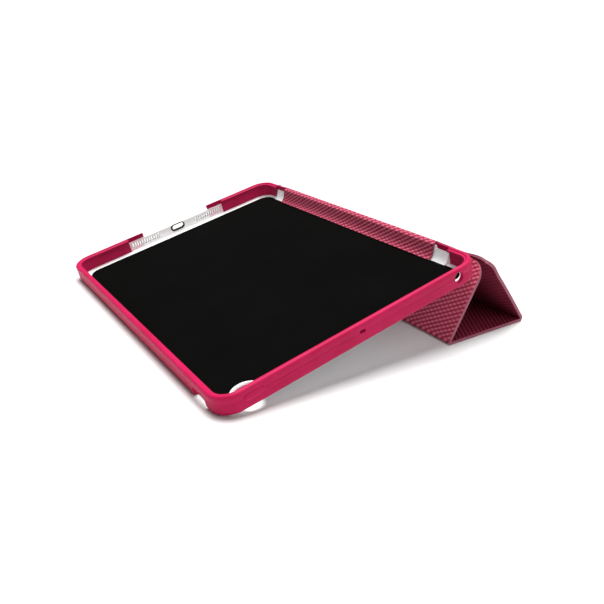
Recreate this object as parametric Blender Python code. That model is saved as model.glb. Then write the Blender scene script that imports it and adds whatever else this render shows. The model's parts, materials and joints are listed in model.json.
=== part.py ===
"""Folding-cover tablet case, standing on its triangular prism.

Units are metres. X runs along the long edge, -Y is the low front edge, +Z is up.
The tray is modelled in its own frame (x, y from its front outer face, z from its underside)
and leans back by TILT. The cover is a chain of flat panels on fold axes parallel to X.
"""
import math

import bmesh
import bpy

MM = 0.001

# Tray, outer sizes
LENGTH = 246.0 * MM
WIDTH = 175.5 * MM
HEIGHT = 11.1 * MM
CORNER_R = 13.0 * MM
TILT = math.radians(13.4)
EDGE_R = 1.8 * MM

# Soft bumper section, measured inward from the outer face
WALL = 2.4 * MM
LIP = 4.1 * MM
LIP_UNDER = 9.6 * MM
CORNER_STEPS = 10
OUTER_STRIP = 0.85 * MM
OUTER_STRIP_Z = 7.5 * MM
PORT_GAP = 42.0 * MM
PORT_STRIP_GAP = 29.0 * MM
HINGE_GAP = 99.7 * MM
HINGE_STRIP_GAP = 89.0 * MM

# Hard inner shell
CLEAR = 0.1 * MM
SHELL_FLOOR = 1.3 * MM
SHELL_WALL_OUT = 1.0 * MM
SHELL_WALL_IN = 2.2 * MM
PORT_WALL_TOP = 10.6 * MM
HINGE_WALL_TOP = 10.2 * MM
SLOT_COUNT = 12
SLOT_FIRST = 17.0 * MM
SLOT_PITCH = 2.0 * MM
SLOT_WIDE = 0.9 * MM
SLOT_LOW = 3.4 * MM
SLOT_HIGH = 7.4 * MM
PORT_HOLE = (12.0 * MM, 5.6 * MM)
PORT_HOLE_Z = 5.6 * MM
CAMERA_AT = (111.4 * MM, 20.6 * MM)
CAMERA_R = 8.2 * MM

# Lining pad on the shell's floor
PAD_LOW = 1.4 * MM
PAD_HIGH = 1.95 * MM
PAD_SIDE = 9.5 * MM
PAD_FRONT = 9.5 * MM
PAD_BACK = 6.3 * MM
PAD_R = 8.0 * MM
PAD_CAMERA_R = 9.4 * MM

# Openings in the bumper
JACK_Y = 158.0 * MM
JACK_R = 3.1 * MM
SIDE_HOLE_Z = 6.6 * MM
MIC_Y = 88.0 * MM
MIC_SIZE = (3.8 * MM, 1.8 * MM)
KEY_Y = 20.2 * MM
KEY_SIZE = (12.6 * MM, 4.2 * MM)
KEY_CLEAR = 0.3 * MM
KEY_PROUD = 0.6 * MM
KEY_DEEP = 2.1 * MM
VOLUME_X = (91.0 * MM, 106.0 * MM)
VOLUME_TOP = 6.6 * MM

# Cover chain, in the Y-Z plane
ROOT_AT = (175.7 * MM, 11.5 * MM)
STRIP_DIR = math.radians(-34.0)
STRIP_LONG = 9.0 * MM
STRIP_THICK = 1.4 * MM
STRIP_START = 1.2 * MM
STRIP_ROOT_HALF = 88.0 * MM
STRIP_FLARE = 34.0 * MM
OUTER_DIR = math.radians(-50.5)
MIDDLE_LONG = 58.5 * MM
FREE_DIR = math.radians(60.8)
FREE_LONG = 49.2 * MM
FOLD_OFFSET = 1.45 * MM
PANEL_THICK = 2.0 * MM
PANEL_HALF = 122.2 * MM
PANEL_START = 1.3 * MM
APEX_GAP = 0.6 * MM
FREE_CORNER_R = 11.0 * MM
SKIN = 0.55 * MM
BOARD = 0.7 * MM
BOARD_INSET = 3.0 * MM
FOLD_GAP = 0.3 * MM
FOLD_STEPS = 10

# Magnets let into the boards' edges
MAGNET_X = 70.0 * MM
MAGNET_SIZE = (24.0 * MM, 7.0 * MM)
MAGNET_GAP = 0.2 * MM

# Placing: the front edge's round touches the floor, and the whole is centred on Y
DROP = EDGE_R * (math.sin(TILT) + math.cos(TILT) - 1.0)
CENTRE_Y = 105.12 * MM

MATERIALS = {
    "bumper_tpu": ((0.73, 0.03, 0.14, 1.0), 0.35, 0.0),
    "frosted_shell": ((0.90, 0.90, 0.91, 1.0), 0.45, 0.0),
    "microfibre": ((0.012, 0.012, 0.013, 1.0), 0.95, 0.0),
    "woven_lining": ((0.68, 0.13, 0.24, 1.0), 0.80, 0.0),
    "cover_skin": ((0.55, 0.06, 0.16, 1.0), 0.60, 0.0),
    "fibre_board": ((0.20, 0.18, 0.17, 1.0), 0.90, 0.0),
    "magnet_steel": ((0.60, 0.60, 0.62, 1.0), 0.35, 1.0),
}


def clear_scene():
    for item in list(bpy.data.objects):
        bpy.data.objects.remove(item, do_unlink=True)


def make_material(name, kind):
    colour, roughness, metallic = MATERIALS[kind]
    material = bpy.data.materials.new(name)
    material.use_nodes = True
    shader = material.node_tree.nodes["Principled BSDF"]
    shader.inputs["Base Color"].default_value = colour
    shader.inputs["Roughness"].default_value = roughness
    shader.inputs["Metallic"].default_value = metallic
    return material


def add_object(name, verts, faces, kind, parent):
    mesh = bpy.data.meshes.new(name)
    mesh.from_pydata(verts, [], faces)
    work = bmesh.new()
    work.from_mesh(mesh)
    bmesh.ops.recalc_face_normals(work, faces=work.faces)
    work.to_mesh(mesh)
    work.free()
    item = bpy.data.objects.new(name, mesh)
    bpy.context.collection.objects.link(item)
    item.parent = parent
    if kind:
        mesh.materials.append(make_material("mat_" + name, kind))
    return item


def add_frame(name, location, angle, parent=None):
    frame = bpy.data.objects.new(name, None)
    bpy.context.collection.objects.link(frame)
    frame.location = location
    frame.rotation_euler = (angle, 0.0, 0.0)
    frame.parent = parent
    return frame


def extrude(name, outline, low, high, kind, parent, axis="Z"):
    """Closed prism of a flat outline, along Z, or along X when axis is X."""
    count = len(outline)
    verts = []
    for level in (low, high):
        for a, b in outline:
            verts.append((level, a, b) if axis == "X" else (a, b, level))
    faces = [tuple(range(count)), tuple(range(count, 2 * count))]
    for i in range(count):
        j = (i + 1) % count
        faces.append((i, j, j + count, i + count))
    return add_object(name, verts, faces, kind, parent)


def box(name, lows, highs, kind, parent):
    outline = [(lows[0], lows[1]), (highs[0], lows[1]), (highs[0], highs[1]), (lows[0], highs[1])]
    return extrude(name, outline, lows[2], highs[2], kind, parent)


def arc(centre, radius, start, end, steps):
    points = []
    for i in range(steps + 1):
        angle = start + (end - start) * i / steps
        points.append((centre[0] + radius * math.cos(angle), centre[1] + radius * math.sin(angle)))
    return points


def rounded_rectangle(x0, y0, x1, y1, radii, steps=8):
    """Counter-clockwise outline; radii start at (x0, y0) and run round."""
    quarter = math.pi / 2
    corners = [(x0, y0, 1, 1, 2), (x1, y0, -1, 1, 3), (x1, y1, -1, -1, 0), (x0, y1, 1, -1, 1)]
    outline = []
    for (x, y, sx, sy, turn), radius in zip(corners, radii):
        if radius <= 0:
            outline.append((x, y))
            continue
        centre = (x + sx * radius, y + sy * radius)
        outline.extend(arc(centre, radius, turn * quarter, (turn + 1) * quarter, steps))
    return outline


def pill(centre, size, steps=6):
    radius = size[1] / 2
    reach = size[0] / 2 - radius
    right = arc((centre[0] + reach, centre[1]), radius, -math.pi / 2, math.pi / 2, steps)
    left = arc((centre[0] - reach, centre[1]), radius, math.pi / 2, 3 * math.pi / 2, steps)
    return right + left


def thick_line(points, thickness):
    """Outline of a strip of even thickness along a polyline."""
    left = []
    right = []
    for i, (a, b) in enumerate(points):
        before = points[max(i - 1, 0)]
        after = points[min(i + 1, len(points) - 1)]
        da = after[0] - before[0]
        db = after[1] - before[1]
        size = math.hypot(da, db)
        left.append((a - db / size * thickness / 2, b + da / size * thickness / 2))
        right.append((a + db / size * thickness / 2, b - da / size * thickness / 2))
    return left + right[::-1]


def cut(item, cutter, operation="DIFFERENCE"):
    modifier = item.modifiers.new(cutter.name, "BOOLEAN")
    modifier.operation = operation
    modifier.solver = "EXACT"
    modifier.object = cutter
    cutter.hide_render = True
    cutter.display_type = "WIRE"


def bumper_section():
    outer_low = arc((EDGE_R, EDGE_R), EDGE_R, -math.pi / 2, -math.pi, 4)
    top_r = 1.5 * MM
    outer_high = arc((top_r, HEIGHT - top_r), top_r, math.pi, math.pi / 2, 4)
    lip = [(LIP - 0.4 * MM, HEIGHT), (LIP, HEIGHT - 0.35 * MM), (LIP, LIP_UNDER + 0.4 * MM)]
    under = [(LIP - 0.4 * MM, LIP_UNDER), (WALL, LIP_UNDER - 0.2 * MM), (WALL, 0.0)]
    return outer_low + outer_high + lip + under


def corner_points():
    """Corner centres with the angle their arc starts at, counter-clockwise from the left front."""
    half = LENGTH / 2 - CORNER_R
    quarter = math.pi / 2
    return [
        (-half, CORNER_R, 2 * quarter),
        (half, CORNER_R, 3 * quarter),
        (half, WIDTH - CORNER_R, 0.0),
        (-half, WIDTH - CORNER_R, quarter),
    ]


def bumper(name, start, corners, end, parent):
    """Sweep the section from a start face through whole corners to an end face."""
    rings = [start]
    for centre_x, centre_y, angle in corners:
        for i in range(CORNER_STEPS + 1):
            turn = angle + math.pi / 2 * i / CORNER_STEPS
            rings.append((centre_x, centre_y, CORNER_R, turn))
    rings.append(end)
    section = bumper_section()
    size = len(section)
    verts = []
    for centre_x, centre_y, radius, turn in rings:
        for inward, up in section:
            reach = radius - inward
            verts.append((centre_x + reach * math.cos(turn), centre_y + reach * math.sin(turn), up))
    faces = []
    for ring in range(len(rings) - 1):
        for i in range(size):
            j = (i + 1) % size
            a = ring * size
            b = a + size
            faces.append((a + i, a + j, b + j, b + i))
    faces.append(tuple(range(size)))
    last = (len(rings) - 1) * size
    faces.append(tuple(last + i for i in range(size)))
    return add_object(name, verts, faces, "bumper_tpu", parent)


def straight_end(x, y, turn):
    """A ring on a straight side: a zero-radius corner at a point of the outer face."""
    return (x, y, 0.0, turn)


def strip_end_cutter(name, lows, highs, along_x, parent):
    """L-shaped cutter that leaves only the thin outer strip at a bumper end."""
    if along_x:
        skin = WIDTH - OUTER_STRIP
        outline = [(skin - 9 * MM, -MM), (WIDTH + MM, -MM), (WIDTH + MM, OUTER_STRIP_Z),
                   (skin, OUTER_STRIP_Z), (skin, HEIGHT + MM), (skin - 9 * MM, HEIGHT + MM)]
        return extrude(name, outline, lows, highs, None, parent, axis="X")
    skin = -LENGTH / 2 + OUTER_STRIP
    verts = []
    outline = [(skin + 9 * MM, -MM), (skin + 9 * MM, HEIGHT + MM), (skin, HEIGHT + MM),
               (skin, OUTER_STRIP_Z), (-LENGTH / 2 - MM, OUTER_STRIP_Z), (-LENGTH / 2 - MM, -MM)]
    for y in (lows, highs):
        verts.extend((a, y, b) for a, b in outline)
    count = len(outline)
    faces = [tuple(range(count)), tuple(range(count, 2 * count))]
    for i in range(count):
        j = (i + 1) % count
        faces.append((i, j, j + count, i + count))
    return add_object(name, verts, faces, None, parent)


def build_bumper(tray):
    left = -LENGTH / 2
    middle = WIDTH / 2
    corners = corner_points()
    main = bumper(
        "bumper_main",
        straight_end(left, middle - PORT_STRIP_GAP, math.pi),
        corners[:3],
        straight_end(HINGE_STRIP_GAP, WIDTH, math.pi / 2),
        tray,
    )
    corner = bumper(
        "bumper_corner",
        straight_end(-HINGE_STRIP_GAP, WIDTH, math.pi / 2),
        corners[3:],
        straight_end(left, middle + PORT_STRIP_GAP, math.pi),
        tray,
    )
    cut(main, strip_end_cutter("cut_port_front", middle - PORT_GAP, middle - 20 * MM, False, tray))
    cut(corner, strip_end_cutter("cut_port_back", middle + 20 * MM, middle + PORT_GAP, False, tray))
    cut(main, strip_end_cutter("cut_hinge_right", 80 * MM, HINGE_GAP, True, tray))
    cut(corner, strip_end_cutter("cut_hinge_left", -HINGE_GAP, -80 * MM, True, tray))
    right = LENGTH / 2
    span = (right - 4 * MM, right + MM)
    jack = arc((JACK_Y, SIDE_HOLE_Z), JACK_R, 0.0, 2 * math.pi * 19 / 20, 19)
    cut(main, extrude("cut_jack", jack, span[0], span[1], None, tray, axis="X"))
    mic = pill((MIC_Y, SIDE_HOLE_Z + 0.6 * MM), MIC_SIZE)
    cut(main, extrude("cut_mic", mic, span[0], span[1], None, tray, axis="X"))
    slot_size = (KEY_SIZE[0] + 2 * KEY_CLEAR, KEY_SIZE[1] + 2 * KEY_CLEAR)
    slot = pill((KEY_Y, SIDE_HOLE_Z), slot_size)
    cut(main, extrude("cut_key", slot, span[0], span[1], None, tray, axis="X"))
    volume = box("cut_volume", (VOLUME_X[0], -MM, -MM), (VOLUME_X[1], 4 * MM, VOLUME_TOP), None, tray)
    cut(main, volume)
    key_outline = pill((0.0, 0.0), KEY_SIZE)
    key = extrude("power_key", key_outline, -KEY_DEEP, KEY_PROUD, "bumper_tpu", tray, axis="X")
    key.location = (right, KEY_Y, SIDE_HOLE_Z)


def build_shell(tray):
    inset = WALL + CLEAR
    half = LENGTH / 2
    plate_r = CORNER_R - inset
    outline = rounded_rectangle(-half + inset, inset, half - inset, WIDTH - inset, [plate_r] * 4)
    shell = extrude("back_shell", outline, 0.0, SHELL_FLOOR, "frosted_shell", tray)
    middle = WIDTH / 2
    side = PORT_GAP - 0.3 * MM
    port_wall = box(
        "add_port_wall",
        (-half + SHELL_WALL_OUT, middle - side, 0.0),
        (-half + SHELL_WALL_IN + 0.2 * MM, middle + side, PORT_WALL_TOP),
        None, tray,
    )
    port_foot = box(
        "add_port_foot",
        (-half + SHELL_WALL_OUT + 0.1 * MM, middle - side + 0.1 * MM, 0.1 * MM),
        (-half + inset + MM, middle + side - 0.1 * MM, SHELL_FLOOR - 0.1 * MM),
        None, tray,
    )
    reach = HINGE_GAP - 0.3 * MM
    out = WIDTH - SHELL_WALL_OUT
    back = WIDTH - SHELL_WALL_IN - 0.2 * MM
    section = [
        (WIDTH - inset - MM, 0.1 * MM),
        (out - 1.6 * MM, 0.1 * MM),
        (out, 1.7 * MM),
        (out, HINGE_WALL_TOP),
        (back, HINGE_WALL_TOP),
        (back, SHELL_FLOOR - 0.1 * MM),
        (WIDTH - inset - MM, SHELL_FLOOR - 0.1 * MM),
    ]
    hinge_wall = extrude("add_hinge_wall", section, -reach, reach, None, tray, axis="X")
    for piece in (port_foot, port_wall, hinge_wall):
        cut(shell, piece, "UNION")
    camera = arc(CAMERA_AT, CAMERA_R, 0.0, 2 * math.pi * 31 / 32, 31)
    cut(shell, extrude("cut_camera", camera, -MM, 2 * MM, None, tray))
    port = pill((middle, PORT_HOLE_Z), PORT_HOLE)
    span = (-half - MM, -half + 4 * MM)
    cut(shell, extrude("cut_port", port, span[0], span[1], None, tray, axis="X"))
    verts = []
    faces = []
    for sign in (-1, 1):
        for i in range(SLOT_COUNT):
            y = middle + sign * (SLOT_FIRST + i * SLOT_PITCH)
            base = len(verts)
            for x in span:
                for dy, z in ((-1, SLOT_LOW), (1, SLOT_LOW), (1, SLOT_HIGH), (-1, SLOT_HIGH)):
                    verts.append((x, y + dy * SLOT_WIDE / 2, z))
            faces.append((base, base + 1, base + 2, base + 3))
            faces.append((base + 4, base + 5, base + 6, base + 7))
            for j in range(4):
                k = (j + 1) % 4
                faces.append((base + j, base + k, base + k + 4, base + j + 4))
    cut(shell, add_object("cut_slots", verts, faces, None, tray))


def build_pad(tray):
    half = LENGTH / 2
    outline = rounded_rectangle(
        -half + PAD_SIDE, PAD_FRONT, half - PAD_SIDE, WIDTH - PAD_BACK, [PAD_R] * 4)
    pad = extrude("lining_pad", outline, PAD_LOW, PAD_HIGH, "microfibre", tray)
    camera = arc(CAMERA_AT, PAD_CAMERA_R, 0.0, 2 * math.pi * 31 / 32, 31)
    cut(pad, extrude("cut_pad_camera", camera, 0.0, 3 * MM, None, tray))


def build_spine(tray):
    back = WIDTH - SHELL_WALL_IN - 0.2 * MM
    thick = 0.8 * MM
    mid = back - thick / 2 - 0.12 * MM
    floor = SHELL_FLOOR + thick / 2 + 0.12 * MM
    points = [
        (mid - 2.9 * MM, floor),
        (mid - 1.9 * MM, floor + 0.05 * MM),
        (mid - 1.0 * MM, floor + 0.4 * MM),
        (mid - 0.4 * MM, floor + 1.1 * MM),
        (mid - 0.1 * MM, floor + 2.2 * MM),
        (mid, floor + 4.0 * MM),
        (mid, HINGE_WALL_TOP + 0.1 * MM),
    ]
    outline = thick_line(points, thick)
    reach = STRIP_ROOT_HALF - 0.5 * MM
    extrude("spine_strip", outline, -reach, reach, "woven_lining", tray, axis="X")


def board_outline(half, low, high, notch_side):
    """Rectangle with a notch for each magnet in one long edge."""
    wide = MAGNET_SIZE[0] / 2 + MAGNET_GAP
    deep = MAGNET_SIZE[1] + MAGNET_GAP
    if notch_side is None:
        return [(-half, low), (half, low), (half, high), (-half, high)]
    edge, inner = (high, high - deep) if notch_side == "high" else (low, low + deep)
    row = [(half, edge)]
    for x in (MAGNET_X, -MAGNET_X):
        row += [(x + wide, edge), (x + wide, inner), (x - wide, inner), (x - wide, edge)]
    row.append((-half, edge))
    other = low if notch_side == "high" else high
    return row + [(-half, other), (half, other)]


def build_panel(name, frame, low, high, offset, radii, notch_side):
    half = PANEL_HALF
    outline = rounded_rectangle(-half, low, half, high, radii)
    base = offset - PANEL_THICK / 2
    top = offset + PANEL_THICK / 2
    extrude(name + "_skin", outline, base, base + SKIN, "cover_skin", frame)
    extrude(name + "_lining", outline, top - SKIN, top, "woven_lining", frame)
    inset = BOARD_INSET
    board = board_outline(half - inset, low + inset / 2, high - inset, notch_side)
    extrude(name + "_board", board, offset - BOARD / 2, offset + BOARD / 2, "fibre_board", frame)
    if notch_side is None:
        return
    edge = high - inset - MAGNET_SIZE[1] / 2 if notch_side == "high" else low + inset / 2 + MAGNET_SIZE[1] / 2
    for label, x in (("left", -MAGNET_X), ("right", MAGNET_X)):
        wide = MAGNET_SIZE[0] / 2
        deep = MAGNET_SIZE[1] / 2
        box(
            name + "_magnet_" + label,
            (x - wide, edge - deep, offset - BOARD / 2),
            (x + wide, edge + deep, offset + BOARD / 2),
            "magnet_steel", frame,
        )


def build_fold(name, frame, start, end):
    """Bent cloth round a fold axis, with a short straight tail on each panel's side."""
    mid = arc((0.0, 0.0), FOLD_OFFSET, start, end, FOLD_STEPS)
    tail = PANEL_START - FOLD_GAP
    sign = 1 if end > start else -1
    before = (mid[0][0] + sign * tail * math.sin(start), mid[0][1] - sign * tail * math.cos(start))
    after = (mid[-1][0] - sign * tail * math.sin(end), mid[-1][1] + sign * tail * math.cos(end))
    inner = arc((0.0, 0.0), FOLD_OFFSET - PANEL_THICK / 2, start, end, FOLD_STEPS)
    outer = arc((0.0, 0.0), FOLD_OFFSET + PANEL_THICK / 2, start, end, FOLD_STEPS)
    outline = []
    for ring, flip in ((outer, False), (inner, True)):
        shift = ring[0][0] - mid[0][0], ring[0][1] - mid[0][1]
        first = (before[0] + shift[0], before[1] + shift[1])
        shift = ring[-1][0] - mid[-1][0], ring[-1][1] - mid[-1][1]
        last = (after[0] + shift[0], after[1] + shift[1])
        row = [first] + ring + [last]
        outline += row[::-1] if flip else row
    extrude(name, outline, -PANEL_HALF, PANEL_HALF, "woven_lining", frame, axis="X")


def tray_to_world(y, z):
    return (
        y * math.cos(TILT) - z * math.sin(TILT) - CENTRE_Y,
        y * math.sin(TILT) + z * math.cos(TILT) - DROP,
    )


def build_cover(tray):
    root_y, root_z = tray_to_world(*ROOT_AT)
    strip_frame = add_frame("hinge_root_axis", (0.0, root_y, root_z), STRIP_DIR)
    low = STRIP_START
    high = STRIP_LONG - APEX_GAP
    right = []
    steps = 10
    for i in range(steps + 1):
        s = low + (high - low) * i / steps
        swell = math.sqrt(1.0 - (1.0 - min(s / (10 * MM), 1.0)) ** 2) if s > 2 * MM else 0.0
        right.append((STRIP_ROOT_HALF + STRIP_FLARE * swell, s))
    outline = right + [(-x, s) for x, s in reversed(right)]
    extrude("hinge_strip", outline, -STRIP_THICK / 2, STRIP_THICK / 2, "woven_lining", strip_frame)
    root_points = [
        (WIDTH - 2.9 * MM, HINGE_WALL_TOP + 0.5 * MM),
        (WIDTH - 2.0 * MM, HEIGHT - 0.1 * MM),
        (WIDTH - 1.0 * MM, HEIGHT + 0.15 * MM),
        (WIDTH - 0.1 * MM, HEIGHT + 0.1 * MM),
        (WIDTH + 0.6 * MM, HEIGHT - 0.35 * MM),
    ]
    reach = STRIP_ROOT_HALF - 0.5 * MM
    extrude("hinge_root_fold", thick_line(root_points, 0.7 * MM), -reach, reach,
            "woven_lining", tray, axis="X")

    apex = (root_y + STRIP_LONG * math.cos(STRIP_DIR), root_z + STRIP_LONG * math.sin(STRIP_DIR))
    outer_frame = add_frame("hinge_edge_axis", (0.0, apex[0], apex[1]), OUTER_DIR)
    fold_z = PANEL_THICK / 2 + FOLD_OFFSET
    normal_z = math.cos(OUTER_DIR)
    outer_long = (apex[1] - FOLD_OFFSET * normal_z - fold_z) / -math.sin(OUTER_DIR)
    square = [0.0] * 4
    build_panel("outer_panel", outer_frame, APEX_GAP, outer_long - PANEL_START, 0.0, square, "low")

    fold_y = apex[0] + outer_long * math.cos(OUTER_DIR) + FOLD_OFFSET * math.sin(OUTER_DIR)
    middle_frame = add_frame("fold_1_axis", (0.0, fold_y, fold_z), math.pi)
    low, high = PANEL_START, MIDDLE_LONG - PANEL_START
    build_panel("middle_panel", middle_frame, low, high, FOLD_OFFSET, square, None)
    axis_1 = add_frame("fold_1_cloth", (0.0, fold_y, fold_z), 0.0)
    build_fold("fold_1_strip", axis_1, OUTER_DIR + math.pi / 2, -math.pi / 2)

    free_frame = add_frame("fold_2_axis", (0.0, fold_y - MIDDLE_LONG, fold_z), FREE_DIR)
    rounded = [0.0, 0.0, FREE_CORNER_R, FREE_CORNER_R]
    build_panel("free_panel", free_frame, PANEL_START, FREE_LONG, FOLD_OFFSET, rounded, "high")
    axis_2 = add_frame("fold_2_cloth", (0.0, fold_y - MIDDLE_LONG, fold_z), 0.0)
    build_fold("fold_2_strip", axis_2, -math.pi / 2, FREE_DIR + math.pi / 2 - 2 * math.pi)


def main():
    clear_scene()
    tray = add_frame("tray_frame", (0.0, -CENTRE_Y, -DROP), TILT)
    build_shell(tray)
    build_bumper(tray)
    build_pad(tray)
    build_spine(tray)
    build_cover(tray)


main()
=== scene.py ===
"""Looks for the folding-cover tablet case: soft rim, frosted shell, lining and woven cover.

Everything is in metres in the row frame. The tray's pieces are made in the tray's own frame
(x, y from its front outer face, z from its underside) and turned into place.
"""

import json
import math

import bmesh
import bpy
from mathutils import Matrix, Vector


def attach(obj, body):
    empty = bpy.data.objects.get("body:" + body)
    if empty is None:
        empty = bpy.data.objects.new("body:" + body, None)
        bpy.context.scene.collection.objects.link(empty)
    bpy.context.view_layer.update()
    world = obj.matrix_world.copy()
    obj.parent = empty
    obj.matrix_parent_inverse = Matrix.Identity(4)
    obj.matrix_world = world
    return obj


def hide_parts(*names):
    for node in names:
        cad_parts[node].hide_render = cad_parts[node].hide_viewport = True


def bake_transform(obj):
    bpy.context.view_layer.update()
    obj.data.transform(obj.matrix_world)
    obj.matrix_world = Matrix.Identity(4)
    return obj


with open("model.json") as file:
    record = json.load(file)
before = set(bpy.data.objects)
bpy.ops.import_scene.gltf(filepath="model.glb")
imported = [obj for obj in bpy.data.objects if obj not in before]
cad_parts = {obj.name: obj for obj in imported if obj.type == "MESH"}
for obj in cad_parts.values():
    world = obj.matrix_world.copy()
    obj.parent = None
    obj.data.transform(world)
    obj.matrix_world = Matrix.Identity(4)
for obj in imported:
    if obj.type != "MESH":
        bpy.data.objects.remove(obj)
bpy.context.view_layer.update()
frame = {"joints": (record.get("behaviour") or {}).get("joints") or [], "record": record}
RECORD = frame["record"]
JOINTS = {j["name"]: j for j in frame["joints"]}
MOUNTS = {m["name"]: m for m in RECORD["mounts"]}

MM = 0.001
QUARTER = math.pi / 2

# Sizes shared with part.py
LENGTH = 246.0 * MM
WIDTH = 175.5 * MM
HEIGHT = 11.1 * MM
CORNER_R = 13.0 * MM
EDGE_R = 1.8 * MM
WALL = 2.4 * MM
LIP = 4.1 * MM
LIP_UNDER = 9.6 * MM
PORT_GAP = 42.0 * MM
PORT_STRIP_GAP = 29.0 * MM
HINGE_GAP = 99.7 * MM
HINGE_STRIP_GAP = 89.0 * MM
SHELL_FLOOR = 1.3 * MM
SIDE_HOLE_Z = 6.6 * MM
JACK_Y = 158.0 * MM
JACK_R = 3.1 * MM
MIC_Y = 88.0 * MM
KEY_Y = 20.2 * MM
KEY_SIZE = (12.6 * MM, 4.2 * MM)
VOLUME_X = (91.0 * MM, 106.0 * MM)
VOLUME_TOP = 6.6 * MM
CAMERA_AT = (111.4 * MM, 20.6 * MM)
PANEL_HALF = 122.2 * MM
PANEL_THICK = 2.0 * MM
FOLD_OFFSET = 1.45 * MM
PANEL_START = 1.3 * MM
FREE_CORNER_R = 11.0 * MM
CAMERA_R = 8.2 * MM
PAD_CAMERA_R = 9.4 * MM
PAD_PORT_SIDE = 9.5 * MM
PAD_BACK = 6.3 * MM
HINGE_WALL_TOP = 10.2 * MM
SLOT_FIRST_MM = 17.0
SLOT_PITCH_MM = 2.0
SLOT_COUNT = 12
SLOT_SIZE = (4.0 * MM, 0.9 * MM)
SLOT_Z = 5.4 * MM

# Sizes that differ from part.py's on purpose, to follow the object's look
NOTCH_STRIP = 1.9 * MM
NOTCH_STRIP_Z = 8.6 * MM
CROWN = 1.0 * MM
PORT_AT_Z = 5.75 * MM
PORT_SIDEWAYS = 0.3 * MM
PORT_HOLE = (9.8 * MM, 3.6 * MM)
PORT_RING_Z = 5.6 * MM
PORT_RING_OUTER = (12.7 * MM, 6.2 * MM)
PORT_RING_INNER = (12.3 * MM, 5.8 * MM)
PAD_KEY_SIDE = 6.8 * MM
PAD_FRONT = 7.6 * MM

# The tray's lean, from the bed's normal, and its place, from the joint at its back edge
bed_normal = MOUNTS["tablet_bed"]["axis"]
TILT = math.atan2(-bed_normal[1], bed_normal[2])
DROP = EDGE_R * (math.sin(TILT) + math.cos(TILT) - 1.0)
ROOT_AT = (175.7 * MM, 11.5 * MM)
root_pos = JOINTS["hinge_root"]["pos_m"]
CENTRE_Y = ROOT_AT[0] * math.cos(TILT) - ROOT_AT[1] * math.sin(TILT) - root_pos[1]
TRAY = Matrix.Translation((0.0, -CENTRE_Y, -DROP)) @ Matrix.Rotation(TILT, 4, "X")
PORT_MIDDLE_Y = (TRAY @ Vector((0.0, WIDTH / 2, 6.0 * MM))).y

# Turns that swap axes: outlines in (x, z) run along y, and outlines in (y, z) run along x
ALONG_Y = Matrix(((1, 0, 0, 0), (0, 0, 1, 0), (0, 1, 0, 0), (0, 0, 0, 1)))
SWAP_XY = Matrix(((0, 1, 0, 0), (1, 0, 0, 0), (0, 0, 1, 0), (0, 0, 0, 1)))


# ---------------------------------------------------------------- mesh helpers

def new_object(name, verts, faces, matrix=None, uvs=None):
    mesh = bpy.data.meshes.new(name)
    mesh.from_pydata([tuple(v) for v in verts], [], faces)
    mesh.validate()
    if uvs is not None:
        layer = mesh.uv_layers.new(name="cloth")
        for loop in mesh.loops:
            layer.data[loop.index].uv = uvs[loop.vertex_index]
    if matrix is not None:
        mesh.transform(matrix)
    item = bpy.data.objects.new(name, mesh)
    bpy.context.scene.collection.objects.link(item)
    return item


def tidy_normals(item):
    work = bmesh.new()
    work.from_mesh(item.data)
    bmesh.ops.recalc_face_normals(work, faces=work.faces)
    work.to_mesh(item.data)
    work.free()


def smooth(item, angle):
    """Smooth faces with every edge sharper than the angle kept hard."""
    work = bmesh.new()
    work.from_mesh(item.data)
    limit = math.radians(angle)
    for face in work.faces:
        face.smooth = True
    for edge in work.edges:
        edge.smooth = len(edge.link_faces) == 2 and edge.calc_face_angle(0.0) < limit
    work.to_mesh(item.data)
    work.free()


def apply_cut(item, cutters, operation="DIFFERENCE"):
    for cutter in cutters:
        modifier = item.modifiers.new("cut", "BOOLEAN")
        modifier.operation = operation
        modifier.solver = "EXACT"
        modifier.object = cutter
    bpy.context.view_layer.update()
    graph = bpy.context.evaluated_depsgraph_get()
    mesh = bpy.data.meshes.new_from_object(item.evaluated_get(graph))
    item.modifiers.clear()
    item.data = mesh
    for cutter in cutters:
        bpy.data.objects.remove(cutter, do_unlink=True)


def arc(centre, radius, start, end, steps):
    return [
        (centre[0] + radius * math.cos(start + (end - start) * i / steps),
         centre[1] + radius * math.sin(start + (end - start) * i / steps))
        for i in range(steps + 1)
    ]


def rounded_rectangle(x0, y0, x1, y1, radii, steps=12):
    corners = [(x0, y0, 1, 1, 2), (x1, y0, -1, 1, 3), (x1, y1, -1, -1, 0), (x0, y1, 1, -1, 1)]
    outline = []
    for (x, y, sx, sy, turn), radius in zip(corners, radii):
        if radius <= 0:
            outline.append((x, y))
        else:
            centre = (x + sx * radius, y + sy * radius)
            outline.extend(arc(centre, radius, turn * QUARTER, (turn + 1) * QUARTER, steps))
    return outline


def pill(centre, size, steps=10):
    radius = size[1] / 2
    reach = size[0] / 2 - radius
    right = arc((centre[0] + reach, centre[1]), radius, -QUARTER, QUARTER, steps)
    left = arc((centre[0] - reach, centre[1]), radius, QUARTER, 3 * QUARTER, steps)
    return right + left


def offset_outline(outline, distance):
    """Moves a counter-clockwise outline inward by a distance."""
    count = len(outline)
    moved = []
    for i in range(count):
        before, here, after = outline[i - 1], outline[i], outline[(i + 1) % count]
        d1 = Vector((here[0] - before[0], here[1] - before[1]))
        d2 = Vector((after[0] - here[0], after[1] - here[1]))
        if d1.length < 1e-9 or d2.length < 1e-9:
            d1 = d2 = Vector((after[0] - before[0], after[1] - before[1]))
        d1.normalize()
        d2.normalize()
        n = Vector((-d1.y - d2.y, d1.x + d2.x))
        n.normalize()
        shrink = max(0.35, abs(Vector((-d1.y, d1.x)).dot(n)))
        moved.append((here[0] + n.x * distance / shrink, here[1] + n.y * distance / shrink))
    return moved


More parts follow.
